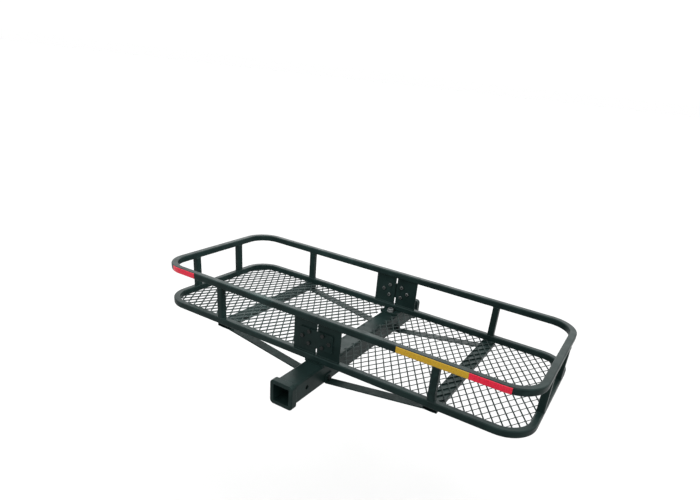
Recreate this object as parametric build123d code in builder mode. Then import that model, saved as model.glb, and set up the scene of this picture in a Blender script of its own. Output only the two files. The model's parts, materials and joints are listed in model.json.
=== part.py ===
from build123d import *
import os

# Hitch cargo carrier: a two-half basket of bent square tube with an expanded-metal
# floor, carried on a central receiver tube.
# Frame (mm): origin on the axis of the hitch pin hole, at the middle of the receiver
# tube. +X runs along the length of the basket, -Y points to the mouth that takes the
# hitch bar, +Z is up.

# ---- receiver tube -----------------------------------------------------------------
TUBE_SIDE = 76.2
TUBE_WALL = 6.35
TUBE_CORNER = 8.0
TUBE_FRONT = -91.0          # open mouth, in front of the basket
TUBE_BACK = 861.0           # open end, behind the basket
COLLAR_SIDE = 92.0
COLLAR_CORNER = 14.0
COLLAR_DEPTH = 25.0
PIN_HOLE_RADIUS = 8.3
RIM_ROUNDING = 2.0

# ---- basket ------------------------------------------------------------------------
BASKET_Y = 391.0            # centre of the basket behind the pin hole
LENGTH = 1524.0             # overall, along X
WIDTH = 609.6               # overall, along Y
RAIL = 25.4                 # square rail tube
RAIL_CORNER = 5.0
RAIL_WALL = 2.0
BEND_RADIUS = 95.0          # on the tube's centre line
LOWER_Z = 58.5              # centre of the lower rail
UPPER_Z = 206.7             # centre of the upper rail
HALF_GAP = 0.5              # each half stops this far from the middle
UPRIGHT_X = 443.9           # front and rear uprights
END_UPRIGHT_Y = 125.0       # uprights of the short ends, from the basket centre

# ---- joint between the halves ------------------------------------------------------
PLATE_WIDTH = 94.0
PLATE_THICK = 5.0
PLATE_GAP = 3.0             # each joint plate stops this far from the middle
SPLICE_WIDTH = 138.0
SPLICE_HEIGHT = 65.0
SPLICE_THICK = 5.0
SPLICE_FAR_X = 56.0         # outer bolts of the six-bolt pattern
SPLICE_NEAR_X = 28.0        # inner bolts
SPLICE_NEAR_Z = 22.5
PLATE_CORNER = 6.0

# ---- floor and what carries it -----------------------------------------------------
CROSS_WIDTH = 50.8
CROSS_HEIGHT = 19.05
CROSS_WALL = 2.0
CROSS_CORNER = 3.0
CROSS_END_Y = 290.0         # from the basket centre
MESH_THICK = 3.0
MESH_INNER_X = 34.0
DIAMOND_X = 31.75
DIAMOND_Y = 50.8
STRAND = 5.0
MESH_MARGIN = 4.0
SADDLE_LENGTH = 82.0        # across the tube
SADDLE_WIDTH = 62.0
SADDLE_BOLT_Y = 262.0       # from the basket centre

# ---- braces ------------------------------------------------------------------------
BRACE_WIDTH = 38.0
BRACE_THICK = 4.8
BRACE_Y = 266.0             # from the basket centre
BRACE_HOLE_FROM_TOP = 56.0  # hole in the tube's side, below the top of the tube
BRACE_TAB_UP = 16.0         # how far the inner tab reaches above its hole
BRACE_FLAT_IN = 24.0        # flat outer end, inward and outward of its hole
BRACE_FLAT_OUT = 12.0
BRACE_BEND = 3.0

# ---- fasteners ---------------------------------------------------------------------
M8_RADIUS = 4.0
M8_CLEARANCE = 4.5
M8_FLATS = 13.0
M8_HEAD = 5.3
M8_NUT = 6.8
M10_RADIUS = 5.0
M10_CLEARANCE = 5.5
M10_FLATS = 16.0
M10_HEAD = 6.4
M10_NUT = 8.4
M16_RADIUS = 8.0
M16_CLEARANCE = 8.5
M16_FLATS = 24.0
M16_HEAD = 10.0
WASHER_RADIUS = 15.0
WASHER_THICK = 3.0
BOLT_PAST_NUT = 3.0

# ---- reflective tape ---------------------------------------------------------------
TAPE_THICK = 0.4
TAPE_HEIGHT = 22.0          # it runs on round the rail's two outer corners
AMBER_START_X = 305.0
RED_START_X = 548.5         # the right red strip runs on into the front bend
LEFT_RED_START_X = 572.0
TAPE_GAP = 0.5
RIGHT_WRAP = 13.0           # degrees of bend that each red strip follows
LEFT_WRAP = 20.0

HALF_LENGTH = LENGTH / 2 - RAIL / 2
HALF_WIDTH = WIDTH / 2 - RAIL / 2
LOWER_TOP = LOWER_Z + RAIL / 2
LOWER_BOTTOM = LOWER_Z - RAIL / 2
UPPER_BOTTOM = UPPER_Z - RAIL / 2
TUBE_TOP = TUBE_SIDE / 2
FRONT_Y = BASKET_Y - HALF_WIDTH
REAR_Y = BASKET_Y + HALF_WIDTH
PLATE_Z = (LOWER_TOP + UPPER_BOTTOM) / 2
CROSS_BOTTOM = LOWER_BOTTOM - CROSS_HEIGHT
SADDLE_THICK = LOWER_BOTTOM - TUBE_TOP

os.makedirs("parts", exist_ok=True)


def save(piece, name):
    """Label a finished piece and write it as its own file."""
    piece.label = name
    export_step(piece, f"parts/{name}.step")


def ring(width, height, corner, wall):
    """Rounded rectangular tube section, centred on the current location."""
    RectangleRounded(width, height, corner)
    RectangleRounded(width - 2 * wall, height - 2 * wall, corner - wall, mode=Mode.SUBTRACT)


# ====================================================================================
# Receiver tube: square, open at both ends, with the pin hole across its mouth end
# ====================================================================================
saddle_bolt_ys = (BASKET_Y - SADDLE_BOLT_Y, BASKET_Y + SADDLE_BOLT_Y)
brace_hole_z = TUBE_TOP - BRACE_HOLE_FROM_TOP

with BuildPart() as receiver_tube:
    with BuildSketch(Plane.XZ.offset(-TUBE_FRONT)):
        ring(TUBE_SIDE, TUBE_SIDE, TUBE_CORNER, TUBE_WALL)
    extrude(amount=-(TUBE_BACK - TUBE_FRONT))
    with Locations(Plane.YZ):
        Cylinder(PIN_HOLE_RADIUS, TUBE_SIDE * 2, mode=Mode.SUBTRACT)
    with Locations(Plane.YZ):
        with Locations((BASKET_Y - BRACE_Y, brace_hole_z), (BASKET_Y + BRACE_Y, brace_hole_z)):
            Cylinder(M10_CLEARANCE, TUBE_SIDE * 2, mode=Mode.SUBTRACT)
    with BuildSketch(Plane.XY.offset(TUBE_TOP)):
        with Locations(*[(0, y) for y in saddle_bolt_ys]):
            Circle(M16_CLEARANCE)
    extrude(amount=-TUBE_WALL * 2, mode=Mode.SUBTRACT)
save(receiver_tube.part, "receiver_tube")

# Collars: thick rounded rings welded round each end of the tube
for name, y_start in (("front_collar", TUBE_FRONT), ("rear_collar", TUBE_BACK - COLLAR_DEPTH)):
    with BuildPart() as collar:
        with BuildSketch(Plane.XZ.offset(-y_start)):
            RectangleRounded(COLLAR_SIDE, COLLAR_SIDE, COLLAR_CORNER)
            RectangleRounded(TUBE_SIDE, TUBE_SIDE, TUBE_CORNER, mode=Mode.SUBTRACT)
        extrude(amount=-COLLAR_DEPTH)
        rims = collar.edges().filter_by(Axis.Y, reverse=True)
        outer_rims = rims.filter_by(
            lambda rim: max(abs(rim.center().X), abs(rim.center().Z)) > (TUBE_SIDE + COLLAR_SIDE) / 4
        )
        fillet(outer_rims, RIM_ROUNDING)
    save(collar.part, name)

# Saddle plates: lie on the tube under the inner ends of both halves
saddle_y = (WIDTH - SADDLE_WIDTH) / 2
for wall, side in (("front", -1), ("rear", 1)):
    with BuildPart() as saddle:
        with BuildSketch(Plane.XY.offset(TUBE_TOP)):
            with Locations((0, BASKET_Y + side * saddle_y)):
                RectangleRounded(SADDLE_LENGTH, SADDLE_WIDTH, PLATE_CORNER)
            with Locations((0, BASKET_Y + side * SADDLE_BOLT_Y)):
                Circle(M16_CLEARANCE, mode=Mode.SUBTRACT)
        extrude(amount=SADDLE_THICK)
    save(saddle.part, f"{wall}_saddle_plate")

# ====================================================================================
# Rails: each half has a lower and an upper tube bent to a U that opens to the middle
# ====================================================================================
for level, rail_z in (("lower", LOWER_Z), ("upper", UPPER_Z)):
    for half, side in (("left", -1), ("right", 1)):
        with BuildPart() as rail:
            with BuildLine() as rail_path:
                FilletPolyline(
                    (side * HALF_GAP, FRONT_Y, rail_z),
                    (side * HALF_LENGTH, FRONT_Y, rail_z),
                    (side * HALF_LENGTH, REAR_Y, rail_z),
                    (side * HALF_GAP, REAR_Y, rail_z),
                    radius=BEND_RADIUS,
                )
            with BuildSketch(Plane(rail_path.line @ 0, x_dir=(0, 1, 0), z_dir=rail_path.line % 0)):
                ring(RAIL, RAIL, RAIL_CORNER, RAIL_WALL)
            sweep()
        save(rail.part, f"{half}_{level}_rail")

# Uprights: short tubes welded between the lower and the upper rail
uprights = [
    ("front_left_upright", -UPRIGHT_X, FRONT_Y),
    ("front_right_upright", UPRIGHT_X, FRONT_Y),
    ("rear_left_upright", -UPRIGHT_X, REAR_Y),
    ("rear_right_upright", UPRIGHT_X, REAR_Y),
    ("left_end_front_upright", -HALF_LENGTH, BASKET_Y - END_UPRIGHT_Y),
    ("left_end_rear_upright", -HALF_LENGTH, BASKET_Y + END_UPRIGHT_Y),
    ("right_end_front_upright", HALF_LENGTH, BASKET_Y - END_UPRIGHT_Y),
    ("right_end_rear_upright", HALF_LENGTH, BASKET_Y + END_UPRIGHT_Y),
]
for name, x, y in uprights:
    with BuildPart() as upright:
        with BuildSketch(Plane.XY.offset(LOWER_TOP)):
            with Locations((x, y)):
                ring(RAIL, RAIL, RAIL_CORNER, RAIL_WALL)
        extrude(amount=UPPER_BOTTOM - LOWER_TOP)
    save(upright.part, name)

# ====================================================================================
# Joint between the halves: four joint plates, two splice plates and their bolts
# ====================================================================================
splice_holes = [
    (-SPLICE_FAR_X, PLATE_Z),
    (SPLICE_FAR_X, PLATE_Z),
    (-SPLICE_NEAR_X, PLATE_Z + SPLICE_NEAR_Z),
    (SPLICE_NEAR_X, PLATE_Z + SPLICE_NEAR_Z),
    (-SPLICE_NEAR_X, PLATE_Z - SPLICE_NEAR_Z),
    (SPLICE_NEAR_X, PLATE_Z - SPLICE_NEAR_Z),
]

for wall, wall_y in (("front", FRONT_Y), ("rear", REAR_Y)):
    for half, side in (("left", -1), ("right", 1)):
        with BuildPart() as joint_plate:
            with BuildSketch(Plane.XZ.offset(-wall_y)):
                with Locations((side * (PLATE_GAP + PLATE_WIDTH / 2), PLATE_Z)):
                    Rectangle(PLATE_WIDTH, UPPER_BOTTOM - LOWER_TOP)
                with Locations(*[hole for hole in splice_holes if hole[0] * side > 0]):
                    Circle(M8_CLEARANCE, mode=Mode.SUBTRACT)
            extrude(amount=PLATE_THICK / 2, both=True)
        save(joint_plate.part, f"{wall}_{half}_joint_plate")

# each wall: which way its outer face looks, and where the splice plate's inner face lies
for wall, wall_y, outward in (("front", FRONT_Y, -1), ("rear", REAR_Y, 1)):
    outer_face = wall_y + outward * PLATE_THICK / 2
    splice_face = outer_face + outward * SPLICE_THICK
    inner_face = wall_y - outward * PLATE_THICK / 2
    with BuildPart() as splice:
        with BuildSketch(Plane.XZ.offset(-outer_face)):
            with Locations((0, PLATE_Z)):
                RectangleRounded(SPLICE_WIDTH, SPLICE_HEIGHT, PLATE_CORNER)
            with Locations(*splice_holes):
                Circle(M8_CLEARANCE, mode=Mode.SUBTRACT)
        extrude(amount=-outward * SPLICE_THICK)
    save(splice.part, f"{wall}_splice_plate")

    with BuildPart() as splice_bolts:
        with BuildSketch(Plane.XZ.offset(-splice_face)):
            with Locations(*splice_holes):
                RegularPolygon(M8_FLATS / 2, 6, major_radius=False)
        extrude(amount=-outward * M8_HEAD)
        with BuildSketch(Plane.XZ.offset(-splice_face)):
            with Locations(*splice_holes):
                Circle(M8_RADIUS)
        extrude(amount=outward * (SPLICE_THICK + PLATE_THICK + M8_NUT + BOLT_PAST_NUT))
    save(splice_bolts.part, f"{wall}_splice_bolts")

    with BuildPart() as splice_nuts:
        with BuildSketch(Plane.XZ.offset(-inner_face)):
            with Locations(*splice_holes):
                RegularPolygon(M8_FLATS / 2, 6, major_radius=False)
                Circle(M8_RADIUS, mode=Mode.SUBTRACT)
        extrude(amount=outward * M8_NUT)
    save(splice_nuts.part, f"{wall}_splice_nuts")

# Saddle bolts: one through each saddle plate into the top wall of the tube
with BuildPart() as saddle_washers:
    with BuildSketch(Plane.XY.offset(LOWER_BOTTOM)):
        with Locations(*[(0, y) for y in saddle_bolt_ys]):
            Circle(WASHER_RADIUS)
            Circle(M16_CLEARANCE, mode=Mode.SUBTRACT)
    extrude(amount=WASHER_THICK)
save(saddle_washers.part, "saddle_washers")

with BuildPart() as saddle_bolts:
    with BuildSketch(Plane.XY.offset(LOWER_BOTTOM + WASHER_THICK)):
        with Locations(*[(0, y) for y in saddle_bolt_ys]):
            RegularPolygon(M16_FLATS / 2, 6, major_radius=False)
    extrude(amount=M16_HEAD)
    with BuildSketch(Plane.XY.offset(LOWER_BOTTOM + WASHER_THICK)):
        with Locations(*[(0, y) for y in saddle_bolt_ys]):
            Circle(M16_RADIUS)
    extrude(amount=-(WASHER_THICK + SADDLE_THICK + TUBE_WALL))
save(saddle_bolts.part, "saddle_bolts")

# ====================================================================================
# Floor: a cross member and an expanded-metal panel in each half
# ====================================================================================
for half, side in (("left", -1), ("right", 1)):
    with BuildPart() as cross_member:
        with BuildSketch(Plane.XZ.offset(-(BASKET_Y - CROSS_END_Y))):
            with Locations((side * UPRIGHT_X, LOWER_BOTTOM - CROSS_HEIGHT / 2)):
                ring(CROSS_WIDTH, CROSS_HEIGHT, CROSS_CORNER, CROSS_WALL)
        extrude(amount=-2 * CROSS_END_Y)
        with BuildSketch(Plane.XY.offset(CROSS_BOTTOM)):
            with Locations(*[(side * UPRIGHT_X, BASKET_Y + s * BRACE_Y) for s in (-1, 1)]):
                Circle(M10_CLEARANCE)
        extrude(amount=CROSS_WALL * 1.5, mode=Mode.SUBTRACT)
    save(cross_member.part, f"{half}_cross_member")

floor_length = HALF_LENGTH - RAIL / 2 - MESH_INNER_X
floor_width = 2 * HALF_WIDTH - RAIL
floor_corner = BEND_RADIUS - RAIL / 2
columns = int(floor_length / DIAMOND_X) + 2
rows = int(floor_width / DIAMOND_Y) + 2
hole_x = DIAMOND_X - STRAND * (DIAMOND_X**2 + DIAMOND_Y**2) ** 0.5 / DIAMOND_Y
hole_y = DIAMOND_Y - STRAND * (DIAMOND_X**2 + DIAMOND_Y**2) ** 0.5 / DIAMOND_X


def floor_outline(margin):
    """Face of the right-hand floor panel, drawn smaller by the margin."""
    left = MESH_INNER_X + margin
    right = HALF_LENGTH - RAIL / 2 - margin
    front = BASKET_Y - floor_width / 2 + margin
    back = BASKET_Y + floor_width / 2 - margin
    with BuildSketch() as outline:
        with BuildLine():
            FilletPolyline(
                (left, front), (right, front), (right, back), (left, back),
                radius=floor_corner - margin,
            )
            Line((left, back), (left, front))
        make_face()
    return outline.sketch


panel_outline = floor_outline(0)
open_zone = floor_outline(MESH_MARGIN)

with BuildSketch() as floor_openings:
    with Locations((MESH_INNER_X + floor_length / 2, BASKET_Y)):
        with Locations((0, 0), (DIAMOND_X / 2, DIAMOND_Y / 2)):
            with GridLocations(DIAMOND_X, DIAMOND_Y, columns, rows):
                Polygon((-hole_x / 2, 0), (0, -hole_y / 2), (hole_x / 2, 0), (0, hole_y / 2))
    add(open_zone, mode=Mode.INTERSECT)

diamonds = floor_openings.faces().filter_by(lambda f: f.area > 40)
pierced_panel = Face(panel_outline.face().outer_wire(), [d.outer_wire() for d in diamonds])

with BuildPart() as right_mesh_panel:
    with BuildSketch(Plane.XY.offset(LOWER_BOTTOM)):
        add(pierced_panel)
    extrude(amount=MESH_THICK)
save(right_mesh_panel.part, "right_mesh_panel")

with BuildPart() as left_mesh_panel:
    add(mirror(right_mesh_panel.part, about=Plane.YZ, mode=Mode.PRIVATE))
save(left_mesh_panel.part, "left_mesh_panel")

# ====================================================================================
# Braces: flat bars from the cross members down to the sides of the tube
# ====================================================================================
bar = BRACE_THICK
tube_side_x = TUBE_SIDE / 2
tab_top = brace_hole_z + BRACE_TAB_UP
tab_bottom = 1.0 - TUBE_SIDE / 2
flat_in = UPRIGHT_X - BRACE_FLAT_IN
flat_out = UPRIGHT_X + BRACE_FLAT_OUT
inner_rise = bar * 1.15     # keeps the sloping run as thick as the tab
for wall, wall_side in (("front", -1), ("rear", 1)):
    brace_y = BASKET_Y + wall_side * BRACE_Y
    for half, side in (("left", -1), ("right", 1)):
        with BuildPart() as brace:
            with BuildSketch(Plane.XZ.offset(-(brace_y - BRACE_WIDTH / 2))):
                with BuildLine():
                    Polyline(
                        (side * tube_side_x, tab_top),
                        (side * tube_side_x, tab_bottom),
                        (side * flat_in, CROSS_BOTTOM - bar),
                        (side * flat_out, CROSS_BOTTOM - bar),
                        (side * flat_out, CROSS_BOTTOM),
                        (side * flat_in, CROSS_BOTTOM),
                        (side * (tube_side_x + bar), tab_bottom + inner_rise),
                        (side * (tube_side_x + bar), tab_top),
                        close=True,
                    )
                make_face()
            extrude(amount=-BRACE_WIDTH)
            with Locations(Plane.YZ):
                with Locations((brace_y, brace_hole_z)):
                    Cylinder(M10_CLEARANCE, 4 * (tube_side_x + bar), mode=Mode.SUBTRACT)
            with Locations((side * UPRIGHT_X, brace_y, CROSS_BOTTOM)):
                Cylinder(M10_CLEARANCE, 4 * bar, mode=Mode.SUBTRACT)
            fillet(brace.edges().filter_by(Axis.Y).sort_by(Axis.Z)[:1], BRACE_BEND)
        save(brace.part, f"{wall}_{half}_brace")

brace_ys = (BASKET_Y - BRACE_Y, BASKET_Y + BRACE_Y)
cross_points = [(x, y) for x in (-UPRIGHT_X, UPRIGHT_X) for y in brace_ys]

# bolts that hold the outer ends of the braces up against the cross members
with BuildPart() as brace_cross_bolts:
    with BuildSketch(Plane.XY.offset(CROSS_BOTTOM - bar)):
        with Locations(*cross_points):
            RegularPolygon(M10_FLATS / 2, 6, major_radius=False)
    extrude(amount=-M10_HEAD)
    with BuildSketch(Plane.XY.offset(CROSS_BOTTOM - bar)):
        with Locations(*cross_points):
            Circle(M10_RADIUS)
    extrude(amount=bar + CROSS_WALL + M10_NUT)
save(brace_cross_bolts.part, "brace_cross_bolts")

with BuildPart() as brace_cross_nuts:
    with BuildSketch(Plane.XY.offset(CROSS_BOTTOM + CROSS_WALL)):
        with Locations(*cross_points):
            RegularPolygon(M10_FLATS / 2, 6, major_radius=False)
            Circle(M10_RADIUS, mode=Mode.SUBTRACT)
    extrude(amount=M10_NUT)
save(brace_cross_nuts.part, "brace_cross_nuts")

# short bolts through the brace tabs into the side walls of the tube
with BuildPart() as brace_tube_bolts:
    for side in (-1, 1):
        with BuildSketch(Plane.YZ.offset(side * (tube_side_x + bar))):
            with Locations(*[(y, brace_hole_z) for y in brace_ys]):
                RegularPolygon(M10_FLATS / 2, 6, major_radius=False)
        extrude(amount=side * M10_HEAD)
        with BuildSketch(Plane.YZ.offset(side * (tube_side_x + bar))):
            with Locations(*[(y, brace_hole_z) for y in brace_ys]):
                Circle(M10_RADIUS)
        extrude(amount=-side * (bar + TUBE_WALL))
save(brace_tube_bolts.part, "brace_tube_bolts")

# ====================================================================================
# Reflective tapes: thin strips that wrap the outer face of the front upper rail
# ====================================================================================
def tape_section():
    """The tape's section, with the middle of the rail at the current location."""
    tape_outside = RAIL + 2 * TAPE_THICK
    ring(tape_outside, tape_outside, RAIL_CORNER + TAPE_THICK, TAPE_THICK)
    with Locations((-RAIL / 2, 0)):
        Rectangle(RAIL_CORNER, TAPE_HEIGHT, mode=Mode.INTERSECT)


with BuildPart() as amber_tape:
    with BuildSketch(Plane((AMBER_START_X, FRONT_Y, UPPER_Z), x_dir=(0, 1, 0), z_dir=(1, 0, 0))):
        tape_section()
    extrude(amount=RED_START_X - TAPE_GAP - AMBER_START_X)
save(amber_tape.part, "right_amber_tape")

# the red tapes follow the rail round the start of its front bends
bend_x = HALF_LENGTH - BEND_RADIUS
for half, side, start_x, wrap in (
    ("left", -1, LEFT_RED_START_X, LEFT_WRAP),
    ("right", 1, RED_START_X, RIGHT_WRAP),
):
    with BuildPart() as red_tape:
        with BuildLine() as tape_path:
            straight = Line((side * start_x, FRONT_Y, UPPER_Z), (side * bend_x, FRONT_Y, UPPER_Z))
            JernArc(straight @ 1, straight % 1, BEND_RADIUS, side * wrap)
        with BuildSketch(Plane(straight @ 0, x_dir=(0, 1, 0), z_dir=straight % 0)):
            tape_section()
        sweep()
    save(red_tape.part, f"{half}_red_tape")
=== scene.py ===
import json
import math
import random

import bmesh
import bpy
from mathutils import Matrix, Vector


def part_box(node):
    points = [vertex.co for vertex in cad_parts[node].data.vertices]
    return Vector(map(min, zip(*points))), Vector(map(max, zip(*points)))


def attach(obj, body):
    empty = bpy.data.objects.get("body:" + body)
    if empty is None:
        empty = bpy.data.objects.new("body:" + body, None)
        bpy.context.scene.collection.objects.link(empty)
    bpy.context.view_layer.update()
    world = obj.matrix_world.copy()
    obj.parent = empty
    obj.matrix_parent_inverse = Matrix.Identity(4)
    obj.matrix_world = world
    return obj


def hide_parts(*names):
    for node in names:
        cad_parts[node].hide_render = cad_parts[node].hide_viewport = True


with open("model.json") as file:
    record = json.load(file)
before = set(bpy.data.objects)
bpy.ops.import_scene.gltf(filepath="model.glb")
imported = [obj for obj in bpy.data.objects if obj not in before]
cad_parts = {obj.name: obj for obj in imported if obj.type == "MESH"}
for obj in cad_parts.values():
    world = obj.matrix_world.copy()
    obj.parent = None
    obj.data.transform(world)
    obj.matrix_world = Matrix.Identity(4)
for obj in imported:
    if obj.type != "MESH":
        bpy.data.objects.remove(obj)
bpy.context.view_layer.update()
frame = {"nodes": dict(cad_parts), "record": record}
NODES = frame["nodes"]
rng = random.Random(11)


# ---------------------------------------------------------------------------
# Node helpers
# ---------------------------------------------------------------------------
class Mat:
    """A node material being built: one Principled shader and what feeds it."""

    def __init__(self, name):
        self.mat = bpy.data.materials.new(name)
        self.mat.use_nodes = True
        self.tree = self.mat.node_tree
        self.bsdf = self.tree.nodes["Principled BSDF"]
        self.coords = self.node("ShaderNodeTexCoord")

    def node(self, kind, **values):
        made = self.tree.nodes.new(kind)
        for key, value in values.items():
            if hasattr(made, key):
                setattr(made, key, value)
            else:
                made.inputs[key.replace("_", " ")].default_value = value
        return made

    def link(self, source, target):
        self.tree.links.new(source, target)

    def noise(self, scale, detail=4.0, rough=0.55):
        made = self.node("ShaderNodeTexNoise", Scale=scale, Detail=detail, Roughness=rough)
        self.link(self.coords.outputs["Object"], made.inputs["Vector"])
        return made.outputs["Fac"]

    def ramp(self, source, stops):
        made = self.node("ShaderNodeValToRGB")
        ramp = made.color_ramp
        while len(ramp.elements) < len(stops):
            ramp.elements.new(0.5)
        for element, (place, colour) in zip(ramp.elements, stops):
            element.position = place
            element.color = (*colour, 1.0)
        self.link(source, made.inputs["Fac"])
        return made.outputs["Color"]

    def span(self, source, low, high, from_low=0.3, from_high=0.7):
        made = self.node("ShaderNodeMapRange")
        made.inputs["From Min"].default_value = from_low
        made.inputs["From Max"].default_value = from_high
        made.inputs["To Min"].default_value = low
        made.inputs["To Max"].default_value = high
        self.link(source, made.inputs["Value"])
        return made.outputs["Result"]

    def mix(self, factor, first, second):
        """Colour mix; in RGBA mode its sockets are inputs 0, 6, 7 and output 2."""
        made = self.node("ShaderNodeMix", data_type="RGBA")
        self.link(factor, made.inputs[0])
        self.link(first, made.inputs[6])
        self.link(second, made.inputs[7])
        return made.outputs[2]

    def edge(self, radius):
        """Rises to 1 on edges, where a rounded normal parts from the true one."""
        flat, full_edge = 0.995, 0.90
        rounded = self.node("ShaderNodeBevel", samples=4)
        rounded.inputs["Radius"].default_value = radius
        geometry = self.node("ShaderNodeNewGeometry")
        alike = self.node("ShaderNodeVectorMath", operation="DOT_PRODUCT")
        self.link(rounded.outputs["Normal"], alike.inputs[0])
        self.link(geometry.outputs["Normal"], alike.inputs[1])
        return self.span(alike.outputs["Value"], 1.0, 0.0, full_edge, flat)

    def bump(self, source, strength, distance, then=None):
        made = self.node("ShaderNodeBump", Strength=strength, Distance=distance)
        self.link(source, made.inputs["Height"])
        if then is not None:
            self.link(then, made.inputs["Normal"])
        return made.outputs["Normal"]


PAINT_GLOSS = 0.07
PAINT_TINT = (0.80, 1.0, 0.96, 1.0)
WEAR_AND_HIGHLIGHT_BAND = 0.0022      # width of the band along edges that is painted paler, partly as rubbed wear and partly as painted highlight
DUST_LIFT = 1.6         # how much paler dust is than the paint
WEAR_AND_HIGHLIGHT_LIFT = 2.6       # how much paler an edge is painted, partly as rubbed wear and partly as painted highlight
STEEL_GLOSS = 0.15
STAIN_DROP = 0.55
TAPE_CELLS = 260.0      # prism cells per metre
TAPE_GLOSS = 0.2
SCUFF_DROP = 0.72


def scaled(colour, factor):
    return [c * factor for c in colour]


def powder_coat(name, dark, light, rough_low, rough_high, wear_and_highlight_share=0.5):
    """Satin powder coat: faint mottling, orange peel, dust, and paler edges that are partly rubbed
    wear and partly painted highlight.
    """
    m = Mat(name)
    mottled = m.ramp(m.noise(9.0, 5.0), [(0.32, dark), (0.68, light)])
    dusty = m.ramp(m.noise(42.0, 6.0), [(0.45, dark), (0.75, scaled(light, DUST_LIFT))])
    patches = m.span(m.noise(3.5, 3.0), 0.0, 0.55, 0.42, 0.68)
    base = m.mix(patches, mottled, dusty)
    # edges are painted paler in patches: partly rubbed wear, partly a painted highlight along the
    # corners
    rubbed_and_highlight = m.ramp(m.noise(160.0, 3.0), [(0.3, light), (0.7, scaled(light, WEAR_AND_HIGHLIGHT_LIFT))])
    wear_and_highlight_mask = m.node("ShaderNodeMath", operation="MULTIPLY")
    m.link(m.edge(WEAR_AND_HIGHLIGHT_BAND), wear_and_highlight_mask.inputs[0])
    m.link(m.span(m.noise(30.0, 5.0), 0.0, wear_and_highlight_share, 0.40, 0.62), wear_and_highlight_mask.inputs[1])
    m.link(m.mix(wear_and_highlight_mask.outputs[0], base, rubbed_and_highlight), m.bsdf.inputs["Base Color"])
    m.link(m.span(m.noise(24.0, 5.0), rough_low, rough_high), m.bsdf.inputs["Roughness"])
    peel = m.bump(m.noise(520.0, 2.0), 0.16, 0.0004)
    m.link(m.bump(m.noise(60.0, 3.0), 0.10, 0.0008, peel), m.bsdf.inputs["Normal"])
    m.bsdf.inputs["Specular IOR Level"].default_value = PAINT_GLOSS
    m.bsdf.inputs["Specular Tint"].default_value = PAINT_TINT
    return m.mat


def plated_steel(name, dark, light, metallic, rough_low, rough_high):
    """Plated or oiled steel with handling marks and a fine grain."""
    m = Mat(name)
    tone = m.ramp(m.noise(140.0, 5.0), [(0.3, dark), (0.7, light)])
    stain = m.ramp(m.noise(38.0, 4.0), [(0.4, scaled(dark, STAIN_DROP)), (0.7, light)])
    m.link(m.mix(m.span(m.noise(55.0), 0.0, 0.7), tone, stain), m.bsdf.inputs["Base Color"])
    m.link(m.span(m.noise(210.0, 4.0), rough_low, rough_high), m.bsdf.inputs["Roughness"])
    m.link(m.bump(m.noise(900.0, 3.0), 0.25, 0.0003), m.bsdf.inputs["Normal"])
    m.bsdf.inputs["Metallic"].default_value = metallic
    m.bsdf.inputs["Specular IOR Level"].default_value = STEEL_GLOSS
    return m.mat


def reflective_tape(name, deep, bright):
    """Prismatic tape: small cells under a smooth clear face, with faint scuffs."""
    m = Mat(name)
    cells = m.node("ShaderNodeTexVoronoi", feature="DISTANCE_TO_EDGE", Scale=TAPE_CELLS)
    m.link(m.coords.outputs["Object"], cells.inputs["Vector"])
    walls = m.ramp(cells.outputs["Distance"], [(0.02, deep), (0.12, bright)])
    scuffed = m.ramp(m.noise(75.0, 6.0), [(0.35, bright), (0.75, scaled(bright, SCUFF_DROP))])
    m.link(m.mix(m.span(m.noise(18.0), 0.15, 0.6), walls, scuffed), m.bsdf.inputs["Base Color"])
    m.link(m.span(m.noise(120.0, 4.0), 0.16, 0.34), m.bsdf.inputs["Roughness"])
    m.link(m.bump(cells.outputs["Distance"], 0.2, 0.0003), m.bsdf.inputs["Normal"])
    m.bsdf.inputs["Specular IOR Level"].default_value = TAPE_GLOSS
    m.bsdf.inputs["Coat Weight"].default_value = 0.15
    m.bsdf.inputs["Coat Roughness"].default_value = 0.12
    return m.mat


frame_paint = powder_coat(
    "frame_powder_coat",
    dark=(0.0022, 0.0052, 0.0048),
    light=(0.0050, 0.0110, 0.0102),
    rough_low=0.30,
    rough_high=0.46,
)
floor_paint = powder_coat(
    "floor_powder_coat",
    dark=(0.007, 0.010, 0.010),
    light=(0.015, 0.021, 0.020),
    rough_low=0.40,
    rough_high=0.56,
    wear_and_highlight_share=0.8,
)
weld_paint = powder_coat(
    "weld_powder_coat",
    dark=(0.003, 0.006, 0.006),
    light=(0.008, 0.014, 0.013),
    rough_low=0.28,
    rough_high=0.42,
    wear_and_highlight_share=0.9,
)
black_steel = plated_steel(
    "black_oxide_steel",
    dark=(0.003, 0.004, 0.004),
    light=(0.010, 0.012, 0.012),
    metallic=0.15,
    rough_low=0.34,
    rough_high=0.52,
)
zinc_steel = plated_steel(
    "zinc_plated_steel",
    dark=(0.10, 0.11, 0.11),
    light=(0.24, 0.25, 0.25),
    metallic=1.0,
    rough_low=0.32,
    rough_high=0.50,
)
red_tape = reflective_tape("red_reflective", deep=(0.20, 0.0, 0.006), bright=(0.36, 0.001, 0.018))
amber_tape = reflective_tape("amber_reflective", deep=(0.16, 0.090, 0.001), bright=(0.25, 0.15, 0.002))

SLOT_MATERIALS = {
    "frame_paint": frame_paint,
    "floor_paint": floor_paint,
    "black_fasteners": black_steel,
    "plated_fasteners": zinc_steel,
    "red_tape": red_tape,
    "amber_tape": amber_tape,
}

# ---------------------------------------------------------------------------
# CAD nodes: their own shape, better materials and softened edges
# ---------------------------------------------------------------------------
EDGE_SOFTNESS = {
    "splice_plate": 0.0009,
    "joint_plate": 0.0008,
    "saddle_plate": 0.0009,
    "brace": 0.0009,
}
SAME_POINT = 0.00002        # CAD corners closer than this are one point
SHARP = math.radians(35)
slot_of = {entry["node"]: entry["material_slot"] for entry in frame["record"]["subparts"]}


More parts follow.
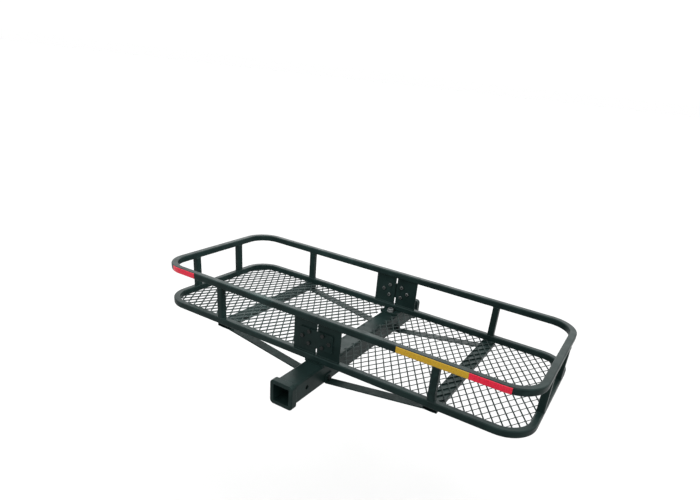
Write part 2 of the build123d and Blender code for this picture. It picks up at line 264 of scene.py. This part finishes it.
def soften(obj, width):
    """Rounds the sharp edges of a CAD node by a small bevel."""
    weld = obj.modifiers.new("join", "WELD")
    weld.merge_threshold = SAME_POINT
    bevel = obj.modifiers.new("soft_edges", "BEVEL")
    bevel.width = width
    bevel.segments = 2
    bevel.limit_method = "ANGLE"
    bevel.angle_limit = SHARP


for node_name, obj in NODES.items():
    material = SLOT_MATERIALS[slot_of[node_name]]
    for material_slot in obj.material_slots:
        material_slot.material = material
    if not obj.material_slots:
        obj.data.materials.append(material)
    for ending, width in EDGE_SOFTNESS.items():
        if node_name.endswith(ending):
            soften(obj, width)


def new_piece(name, bm, material, slot_name, smooth=True):
    """Turns a bmesh into a visible piece that rides on the one body."""
    bmesh.ops.recalc_face_normals(bm, faces=bm.faces)
    mesh = bpy.data.meshes.new(name)
    bm.to_mesh(mesh)
    bm.free()
    for polygon in mesh.polygons:
        polygon.use_smooth = smooth
    mesh.materials.append(material)
    obj = bpy.data.objects.new(name, mesh)
    bpy.context.scene.collection.objects.link(obj)
    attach(obj, "root")
    return obj


# ---------------------------------------------------------------------------
# Expanded-metal floor: zigzag strands that run front to back and meet in bonds
# ---------------------------------------------------------------------------
DIAMOND_X, DIAMOND_Y = 0.03175, 0.0508
STRAND_WIDE, STRAND_THICK = 0.0052, 0.0024
STRAND_CHAMFER = 0.0006
STRAND_GAP = 0.0034     # between the middles of two strands where they are bonded
BOND_HALF = 0.0027      # half the length of a bond
TILT = math.radians(48)
BITE = 0.0010           # how far strand ends run into the rail
SHORTEST_STRAND = 0.004
LIFT = 0.0010           # sets the strands on the cross member
FLOOR_CORNER = 0.0823   # inside radius of the rail's bends
MITRE_SHARE = 0.35      # how much of the full mitre a slope's section gets
STEEPEST_MITRE = 0.6
CUT_HALVINGS = 12       # steps of the search for a strand's cut end


def strand_path(x_line, first_side, y_low, y_high):
    """Points of one zigzag strand: slopes between short straight bonds."""
    reach = DIAMOND_X / 4 - STRAND_GAP / 2
    points = []
    step = DIAMOND_Y / 2
    count = int((y_high - y_low) / step) + 3
    start = y_low - step
    for k in range(count):
        side = first_side if k % 2 == 0 else -first_side
        y = start + k * step
        points.append((x_line + side * reach, y - BOND_HALF))
        points.append((x_line + side * reach, y + BOND_HALF))
    return points


def crossing(outer, inner, inside):
    """Where the line from a point outside to a point inside meets the outline."""
    for _ in range(CUT_HALVINGS):
        middle = ((outer[0] + inner[0]) / 2, (outer[1] + inner[1]) / 2)
        if inside(*middle):
            inner = middle
        else:
            outer = middle
    return inner


def inside_runs(points, inside):
    """The stretches of a zigzag that lie inside the panel's outline."""
    runs, run = [], []
    for start, end in zip(points, points[1:]):
        starts_in, ends_in = inside(*start), inside(*end)
        if starts_in:
            run.append(start)
        if starts_in and not ends_in:
            run.append(crossing(end, start, inside))
            runs.append(run)
            run = []
        if ends_in and not starts_in:
            run = [crossing(start, end, inside)]
    return [run for run in runs if math.dist(run[0], run[-1]) > SHORTEST_STRAND]


def sweep_strand(bm, path, z):
    """A tilted flat bar with broken corners along the path."""
    w, t = STRAND_WIDE / 2, STRAND_THICK / 2
    c = STRAND_CHAMFER
    outline = [
        (-w, -t + c), (-w + c, -t), (w - c, -t), (w, -t + c),
        (w, t - c), (w - c, t), (-w + c, t), (-w, t - c),
    ]
    rings = []
    for i, (x, y) in enumerate(path):
        before = path[max(i - 1, 0)]
        after = path[min(i + 1, len(path) - 1)]
        along = Vector((after[0] - before[0], after[1] - before[1], 0)).normalized()
        across = Vector((along.y, -along.x, 0))
        mitre = 1.0 / max(abs(across.x), STEEPEST_MITRE)
        widen = 1.0 + MITRE_SHARE * (mitre - 1)
        ring = []
        for u, v in outline:
            tilt_u = u * math.cos(TILT) - v * math.sin(TILT)
            tilt_v = u * math.sin(TILT) + v * math.cos(TILT)
            ring.append(bm.verts.new((x + tilt_u * widen, y, z + tilt_v)))
        rings.append(ring)
    n = len(outline)
    for a, b in zip(rings, rings[1:]):
        for i in range(n):
            bm.faces.new((a[i], a[(i + 1) % n], b[(i + 1) % n], b[i]))
    bm.faces.new(rings[0])
    bm.faces.new(list(reversed(rings[-1])))


def expanded_panel(node_name, side):
    """Strands for one half of the floor, built on the +X side and mirrored if side is -1."""
    low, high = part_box(node_name)
    near, far = sorted((abs(low[0]), abs(high[0])))
    y_low, y_high = low[1], high[1]
    z = (low[2] + high[2]) / 2 + LIFT

    def inside(x, y):
        centre_x = far - FLOOR_CORNER
        if x < near:
            return False
        if x > centre_x:
            centre_y = min(max(y, y_low + FLOOR_CORNER), y_high - FLOOR_CORNER)
            return math.hypot(x - centre_x, y - centre_y) < FLOOR_CORNER + BITE
        return y_low - BITE <= y <= y_high + BITE

    bm = bmesh.new()
    column = 0
    x_line = near - DIAMOND_X / 8
    while x_line < far + DIAMOND_X / 4:
        first_side = 1 if column % 2 == 0 else -1
        for run in inside_runs(strand_path(x_line, first_side, y_low, y_high), inside):
            sweep_strand(bm, run, z)
        x_line += DIAMOND_X / 2
        column += 1
    if side < 0:
        bmesh.ops.scale(bm, vec=(-1, 1, 1), verts=bm.verts)
    panel = new_piece(f"{node_name}_expanded", bm, floor_paint, "floor_paint", smooth=False)
    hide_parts(node_name)


expanded_panel("right_mesh_panel", 1)
expanded_panel("left_mesh_panel", -1)


# ---------------------------------------------------------------------------
# Weld beads: rippled fillets where the tubes and plates meet
# ---------------------------------------------------------------------------
BEAD_SIDES = 8
RIPPLE_HIGH, RIPPLE_LOW = 0.14, -0.10
RIPPLE_NOISE = 0.06
BEAD_END = 0.45         # size of a bead's two ends against its middle


def bead(bm, points, radius, closed, pitch=0.0032):
    """A rippled bead along a polyline; its section swells and shrinks along it."""
    dense = []
    following = points[1:] + points[:1] if closed else points[1:]
    for a, b in zip(points, following):
        a, b = Vector(a), Vector(b)
        steps = max(1, round((b - a).length / (pitch / 2)))
        dense += [a.lerp(b, i / steps) for i in range(steps)]
    if not closed:
        dense.append(Vector(points[-1]))
    rings = []
    count = len(dense)
    for i, p in enumerate(dense):
        before = dense[(i - 1) % count] if closed or i > 0 else p
        after = dense[(i + 1) % count] if closed or i < count - 1 else p
        along = (after - before).normalized()
        reference = Vector((0, 0, 1)) if abs(along.z) < 0.9 else Vector((1, 0, 0))
        u = along.cross(reference).normalized()
        v = along.cross(u).normalized()
        ripple = RIPPLE_HIGH if i % 2 else RIPPLE_LOW
        swell = radius * (1.0 + ripple + rng.uniform(-RIPPLE_NOISE, RIPPLE_NOISE))
        if not closed and i in (0, count - 1):
            swell *= BEAD_END
        rings.append([bm.verts.new(p + (u * math.cos(t) + v * math.sin(t)) * swell)
                      for t in (k * math.tau / BEAD_SIDES for k in range(BEAD_SIDES))])
    ring_pairs = list(zip(rings, rings[1:]))
    if closed:
        ring_pairs.append((rings[-1], rings[0]))
    for a, b in ring_pairs:
        for k in range(BEAD_SIDES):
            j = (k + 1) % BEAD_SIDES
            bm.faces.new((a[k], a[j], b[j], b[k]))
    if not closed:
        bm.faces.new(list(reversed(rings[0])))
        bm.faces.new(rings[-1])


CORNER_POINTS = 4


def rounded_loop(cx, cy, half, corner, z):
    """Rounded square round a vertical tube."""
    points = []
    for k, (sx, sy) in enumerate(((1, 1), (-1, 1), (-1, -1), (1, -1))):
        for i in range(CORNER_POINTS):
            a = math.pi / 2 * (k + i / (CORNER_POINTS - 1))
            points.append((cx + sx * (half - corner) + corner * math.cos(a),
                           cy + sy * (half - corner) + corner * math.sin(a), z))
    return points


def bead_along_x(bm, low_x, high_x, inset, y, z, radius):
    """A straight bead along X that stops short of both ends."""
    bead(bm, [(low_x + inset, y, z), (high_x - inset, y, z)], radius, False)


SEAM_OFF = 0.0002           # how far a bead's middle is set past its seam
UPRIGHT_BEAD = 0.0019       # bead radii
PLATE_BEAD = 0.0018
COLLAR_BEAD = 0.0030
CROSS_BEAD = 0.0022
SADDLE_BEAD = 0.0024
TACK_BEAD = 0.0021
UPRIGHT_CORNER = 0.005
UPRIGHT_INSET = 0.0006
COLLAR_CORNER = 0.0085
COLLAR_OUT = 0.0008
COLLAR_PITCH = 0.0045
LONG_INSET = 0.004          # how far straight beads stop short of the seam's ends
CROSS_END_INSET = 0.003
CROSS_TO_RAIL = 0.0262      # from the rail's outer face to the seam on its inner side
CROSS_TOP_OUT = 0.0006
CROSS_END_IN = 0.0004
SADDLE_DROP = 0.0006
SADDLE_SPREAD = 1.06
TACK_IN = 0.0004
TACK_FIRST, TACK_LAST = 0.075, 0.64
TACK_JITTER = 0.006
TACK_LENGTH = 0.011
TACK_PITCH = DIAMOND_X * 3

bm = bmesh.new()
for node_name in NODES:
    if node_name.endswith("upright"):
        low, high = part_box(node_name)
        cx, cy = (low[0] + high[0]) / 2, (low[1] + high[1]) / 2
        half = (high[0] - low[0]) / 2
        for z in (low[2] - SEAM_OFF, high[2] + SEAM_OFF):
            loop = rounded_loop(cx, cy, half - UPRIGHT_INSET, UPRIGHT_CORNER, z)
            bead(bm, loop, UPRIGHT_BEAD, True)
new_piece("upright_welds", bm, weld_paint, "frame_paint")

bm = bmesh.new()
for node_name in NODES:
    if node_name.endswith("joint_plate"):
        low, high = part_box(node_name)
        for z in (low[2] + SEAM_OFF, high[2] - SEAM_OFF):
            for y in (low[1], high[1]):
                bead_along_x(bm, low[0], high[0], LONG_INSET, y, z, PLATE_BEAD)
new_piece("joint_plate_welds", bm, weld_paint, "frame_paint")


def tube_loop(half, corner, y):
    """Rounded square round the receiver tube, whose length runs along Y."""
    return [(x, y, z) for x, z, _ in rounded_loop(0, 0, half, corner, 0)]


tube_low, tube_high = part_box("receiver_tube")
tube_half = (tube_high[0] - tube_low[0]) / 2
bm = bmesh.new()
for collar_name, end in (("front_collar", 1), ("rear_collar", 0)):
    collar_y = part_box(collar_name)[end][1]
    loop = tube_loop(tube_half + COLLAR_OUT, COLLAR_CORNER, collar_y)
    bead(bm, loop, COLLAR_BEAD, True, COLLAR_PITCH)
new_piece("collar_welds", bm, weld_paint, "frame_paint")

bm = bmesh.new()
for half in ("left", "right"):
    low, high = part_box(f"{half}_cross_member")
    rail_low, rail_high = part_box(f"{half}_lower_rail")
    for y in (rail_low[1] + CROSS_TO_RAIL, rail_high[1] - CROSS_TO_RAIL):
        bead_along_x(bm, low[0], high[0], LONG_INSET, y, high[2] + CROSS_TOP_OUT, CROSS_BEAD)
    for y in (low[1] + CROSS_END_IN, high[1] - CROSS_END_IN):
        bead_along_x(bm, low[0], high[0], CROSS_END_INSET, y, high[2] - CROSS_END_IN, CROSS_BEAD)
new_piece("cross_member_welds", bm, weld_paint, "frame_paint")

bm = bmesh.new()
for wall in ("front", "rear"):
    low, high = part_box(f"{wall}_saddle_plate")
    z = low[2] - SADDLE_DROP
    for x in (-tube_half + LONG_INSET, tube_half - LONG_INSET):
        x = x * SADDLE_SPREAD
        bead(bm, [(x, low[1] + LONG_INSET, z), (x, high[1] - LONG_INSET, z)], SADDLE_BEAD, False)
new_piece("saddle_welds", bm, weld_paint, "frame_paint")

# short tack welds that hold the floor strands to the rails
bm = bmesh.new()
for half, sign in (("left", -1), ("right", 1)):
    low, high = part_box(f"{half}_mesh_panel")
    z = high[2] - TACK_IN
    x = TACK_FIRST
    while x < TACK_LAST:
        for y in (low[1] + TACK_IN, high[1] - TACK_IN):
            start = x + rng.uniform(-TACK_JITTER, TACK_JITTER)
            bead(bm, [(sign * start, y, z), (sign * (start + TACK_LENGTH), y, z)], TACK_BEAD, False)
        x += TACK_PITCH
new_piece("floor_tack_welds", bm, weld_paint, "floor_paint")

# ---------------------------------------------------------------------------
# Fasteners: chamfered hexagons, washers and threaded ends in place of the plain CAD ones
# ---------------------------------------------------------------------------
SIDES = 24
SAME_VERTEX = 0.00001
CHAMFER_SHARE = 0.055       # of the width across flats
TURNED_SHARE = 0.96         # circle that the hexagon's corners are turned down to
DISH_OUTER, DISH_INNER, DISH_DEEP = 0.80, 0.74, 0.0003
BORE_MOUTH, BORE_SLOPE = 1.12, 0.15
THREAD_CREST, THREAD_ROOT = 0.99, 0.87
THREAD_START = 0.86
THREAD_END, TIP = 0.84, 0.70
LEAD_IN, LEADS, RUN_OUT = 0.4, 1.6, 0.25    # plain lengths, in pitches
SEAM_SHARE = 0.999          # keeps a thread's two seam points apart
HEAD_OFF = 0.0002           # gap under a head, against faces that coincide
WASHER_SOFT = 0.25
WASHER_PLAY = 1.06
AXES = {"x": Vector((1, 0, 0)), "y": Vector((0, 1, 0)), "z": Vector((0, 0, 1))}


def solids_of(node_name):
    """The low and high corner of each separate solid in a node."""
    mesh = NODES[node_name].data
    bm = bmesh.new()
    bm.from_mesh(mesh)
    bmesh.ops.remove_doubles(bm, verts=bm.verts, dist=SAME_VERTEX)
    left = set(bm.verts)
    found = []
    while left:
        group, front = set(), [left.pop()]
        while front:
            vert = front.pop()
            group.add(vert)
            for edge in vert.link_edges:
                other = edge.other_vert(vert)
                if other in left:
                    left.discard(other)
                    front.append(other)
        low = Vector([min(v.co[i] for v in group) for i in range(3)])
        high = Vector([max(v.co[i] for v in group) for i in range(3)])
        found.append((low, high))
    bm.free()
    return sorted(found, key=lambda box: tuple(box[0]))


def skin(bm, rings, loop=False):
    """Joins rings of equal length into a closed surface."""
    made = [[bm.verts.new(p) for p in ring] for ring in rings]
    pairs = list(zip(made, made[1:]))
    if loop:
        pairs.append((made[-1], made[0]))
    count = len(made[0])
    for a, b in pairs:
        for k in range(count):
            bm.faces.new((a[k], a[(k + 1) % count], b[(k + 1) % count], b[k]))
    if not loop:
        bm.faces.new(list(reversed(made[0])))
        bm.faces.new(made[-1])


def placed(centre, axis, sign, turn=0.0):
    """Frame whose +Z points out of the joint along the fastener's axis."""
    spin = Vector((0, 0, 1)).rotation_difference(AXES[axis] * sign).to_matrix().to_4x4()
    return Matrix.Translation(centre) @ spin @ Matrix.Rotation(turn, 4, "Z")


def ring_at(place, radius, height):
    """Circle of points, or a hexagon when the radius is a function of the angle."""
    points = []
    for k in range(SIDES):
        a = k * math.tau / SIDES
        r = radius(a) if callable(radius) else radius
        points.append(place @ Vector((r * math.cos(a), r * math.sin(a), height)))
    return points


def hexagon(flats):
    """Radius of a hexagon's outline as a function of the angle."""
    return lambda a: flats / 2 / math.cos((a % (math.pi / 3)) - math.pi / 6)


def hex_body(bm, place, flats, low, high, bore=0.0, both=False):
    """Hexagon with its corners turned down at the top, and at the bottom of a nut."""
    chamfer = flats * CHAMFER_SHARE
    turned = flats / 2 * TURNED_SHARE
    lower = [(hexagon(flats), low)]
    if both:
        lower = [(turned, low), (hexagon(flats), low + chamfer)]
    upper = [(hexagon(flats), high - chamfer), (turned, high)]
    if bore:
        mouth, slope = bore * BORE_MOUTH, bore * BORE_SLOPE
        rim = [(mouth, high), (bore, high - slope), (bore, low + slope), (mouth, low)]
        skin(bm, [ring_at(place, r, h) for r, h in lower + upper + rim], loop=True)
    else:
        dish = [(flats / 2 * DISH_OUTER, high), (flats / 2 * DISH_INNER, high - DISH_DEEP)]
        skin(bm, [ring_at(place, r, h) for r, h in lower + upper + dish])


def threaded_rod(bm, place, radius, pitch, low, high):
    """Rod with a helical thread and a chamfered tip at its high end."""
    angles = [k * math.tau / SIDES for k in range(SIDES)]
    rings = [ring_at(place, THREAD_START * radius, low)]
    turns = int((high - low - pitch * LEADS) / (pitch / 2))
    for i in range(turns):
        r = radius * (THREAD_CREST if i % 2 else THREAD_ROOT)
        start = low + pitch * LEAD_IN + pitch / 2 * i
        ring = []
        for a in (angle * SEAM_SHARE for angle in angles):
            height = start + pitch * a / math.tau
            ring.append(place @ Vector((r * math.cos(a), r * math.sin(a), height)))
        rings.append(ring)
    rings.append(ring_at(place, radius * THREAD_END, high - pitch * RUN_OUT))
    rings.append(ring_at(place, radius * TIP, high))
    skin(bm, rings)


def ring_washer(bm, place, inner, outer, low, high):
    """Flat washer with its outer and upper inner edges softened."""
    soft = (high - low) * WASHER_SOFT
    profile = [(inner, low), (outer - soft, low), (outer, low + soft), (outer, high - soft),
               (outer - soft, high), (inner + soft, high), (inner, high - soft)]
    skin(bm, [ring_at(place, r, h) for r, h in profile], loop=True)


def fasteners(node_name, build):
    """Builds one detailed piece for all the solids of a fastener node."""
    bm = bmesh.new()
    for low, high in solids_of(node_name):
        build(bm, low, high, rng.uniform(0, math.tau))
    slot_name = slot_of[node_name]
    piece = new_piece(f"{node_name}_detailed", bm, SLOT_MATERIALS[slot_name], slot_name, smooth=False)
    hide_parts(node_name)


M8 = {"radius": 0.004, "pitch": 0.00125, "flats": 0.013, "head": 0.0053, "nut": 0.0068}
M10 = {"radius": 0.005, "pitch": 0.0015, "flats": 0.016, "head": 0.0064, "nut": 0.0084}
M16 = {"radius": 0.008, "flats": 0.024}
NUT_BORE = 0.99             # of the bolt's radius


def bolt_along(size, axis, head_sign):
    """A bolt whose head is at the end that head_sign points to."""
    index = "xyz".index(axis)

    def build(bm, low, high, turn):
        middle = (low + high) / 2
        head_end = high[index] if head_sign > 0 else low[index]
        tip_end = low[index] if head_sign > 0 else high[index]
        middle[index] = head_end - head_sign * size["head"]
        length = abs(middle[index] - tip_end)
        head_place = placed(middle, axis, head_sign, turn)
        rod_place = placed(middle, axis, -head_sign)
        hex_body(bm, head_place, size["flats"], HEAD_OFF, size["head"])
        threaded_rod(bm, rod_place, size["radius"], size["pitch"], 0.0, length)
    return build


def nut_along(size, axis, out_sign):
    """A nut whose outer face is at the end that out_sign points to."""
    index = "xyz".index(axis)

    def build(bm, low, high, turn):
        middle = (low + high) / 2
        middle[index] = low[index] if out_sign > 0 else high[index]
        place = placed(middle, axis, out_sign, turn)
        bore = size["radius"] * NUT_BORE
        hex_body(bm, place, size["flats"], 0.0, size["nut"], bore, both=True)
    return build


fasteners("front_splice_bolts", bolt_along(M8, "y", -1))
fasteners("rear_splice_bolts", bolt_along(M8, "y", 1))
fasteners("front_splice_nuts", nut_along(M8, "y", 1))
fasteners("rear_splice_nuts", nut_along(M8, "y", -1))
fasteners("brace_cross_bolts", bolt_along(M10, "z", -1))
fasteners("brace_cross_nuts", nut_along(M10, "z", 1))


def tube_bolt(bm, low, high, turn):
    """Bolts of the brace tabs: their heads face away from the tube."""
    bolt_along(M10, "x", 1 if low.x + high.x > 0 else -1)(bm, low, high, turn)


def saddle_bolt(bm, low, high, turn):
    """Hexagon head on its washer, over a plain shank that ends in the tube."""
    top = (low + high) / 2
    top.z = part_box("saddle_washers")[1][2]
    place = placed(top, "z", 1, turn)
    hex_body(bm, place, M16["flats"], 0.0, high.z - top.z)
    into_head = 0.0005
    shank_ends = (low.z - top.z, into_head)
    skin(bm, [ring_at(place, M16["radius"], height) for height in shank_ends])


def saddle_washer(bm, low, high, turn):
    middle = (low + high) / 2
    middle.z = low.z
    inner, outer = M16["radius"] * WASHER_PLAY, (high.x - low.x) / 2
    ring_washer(bm, placed(middle, "z", 1), inner, outer, 0.0, high.z - low.z)


fasteners("brace_tube_bolts", tube_bolt)
fasteners("saddle_bolts", saddle_bolt)
fasteners("saddle_washers", saddle_washer)

# ---------------------------------------------------------------------------
# Stage, light and camera
# ---------------------------------------------------------------------------
def backdrop_material():
    """Mid grey, which the light below brings up to almost white."""
    m = Mat("pale_floor")
    tone = m.ramp(m.noise(0.8, 2.0), [(0.3, (0.305, 0.305, 0.304)), (0.7, (0.315, 0.315, 0.315))])
    m.link(tone, m.bsdf.inputs["Base Color"])
    m.bsdf.inputs["Roughness"].default_value = 0.9
    m.bsdf.inputs["Specular IOR Level"].default_value = 0.0
    return m.mat


FLOOR_Z = -0.95
FLOOR_SIZE = 400.0
FLOOR_CENTRE_Y = 0.4
bpy.ops.mesh.primitive_plane_add(size=FLOOR_SIZE, location=(0, FLOOR_CENTRE_Y, FLOOR_Z))
floor = bpy.context.object
floor.name = "studio_floor"
floor.data.materials.append(backdrop_material())

# soft studio dome: pale at the horizon, with a brighter ring above it; each stop
# pairs a height (the direction's Z) with a level
DOME_STOPS = ((0.0, 0.25), (0.17, 0.35), (0.34, 0.88), (0.62, 0.80), (1.0, 1.0))
DOME_STRENGTH = 4.0
world = bpy.data.worlds.new("studio")
bpy.context.scene.world = world
world.use_nodes = True
dome = world.node_tree
direction = dome.nodes.new("ShaderNodeTexCoord")
height = dome.nodes.new("ShaderNodeSeparateXYZ")
glow = dome.nodes.new("ShaderNodeValToRGB")
stops = glow.color_ramp.elements
for place, _ in DOME_STOPS[1:-1]:
    stops.new(place)
for stop, (_, level) in zip(stops, DOME_STOPS):
    stop.color = (level, level, level, 1.0)
dome.links.new(direction.outputs["Generated"], height.inputs[0])
dome.links.new(height.outputs["Z"], glow.inputs["Fac"])
dome.links.new(glow.outputs["Color"], dome.nodes["Background"].inputs["Color"])
dome.nodes["Background"].inputs["Strength"].default_value = DOME_STRENGTH


def area_light(name, place, aim, size, power):
    """Rectangular lamp that the camera doesn't see; power in watts."""
    data = bpy.data.lights.new(name, "AREA")
    data.shape = "RECTANGLE"
    data.size, data.size_y = size
    data.energy = power
    lamp = bpy.data.objects.new(name, data)
    lamp.location = place
    lamp.rotation_euler = (Vector(aim) - Vector(place)).to_track_quat("-Z", "Y").to_euler()
    lamp.visible_camera = False
    bpy.context.scene.collection.objects.link(lamp)


TARGET = (0.0, 0.4, 0.1)
area_light("back_key", (-1.9, 3.6, 2.0), TARGET, (2.8, 1.3), 30)
area_light("top", (0.4, 0.2, 3.4), TARGET, (1.6, 1.2), 12)
# low and inside the basket: it lights only the walls that face it at the left and rear
area_light("inner_left", (-0.15, 0.15, 0.42), (-0.80, 0.62, 0.18), (0.25, 0.12), 5)

bpy.context.scene.view_settings.view_transform = "Standard"

camera_data = bpy.data.cameras.new("camera")
camera_data.sensor_width = 36.0
camera_data.lens = 26.58
camera_data.shift_x = -0.0320
camera_data.shift_y = 0.1118
camera_data.clip_end = 100.0
camera = bpy.data.objects.new("camera", camera_data)

# the camera stands to the right in front, a little rolled, as the photo's did
CAMERA_PLACE = (0.8881, -1.2079, 0.9743)
CAMERA_RIGHT = (0.85915, 0.50197, 0.09945)
CAMERA_FORWARD = (-0.41311, 0.79505, -0.44412)
right = Vector(CAMERA_RIGHT).normalized()
forward = Vector(CAMERA_FORWARD).normalized()
up = right.cross(forward).normalized()
right = forward.cross(up).normalized()
rotation = Matrix((right, up, -forward)).transposed().to_4x4()
camera.matrix_world = Matrix.Translation(CAMERA_PLACE) @ rotation
bpy.context.scene.collection.objects.link(camera)
bpy.context.scene.camera = camera
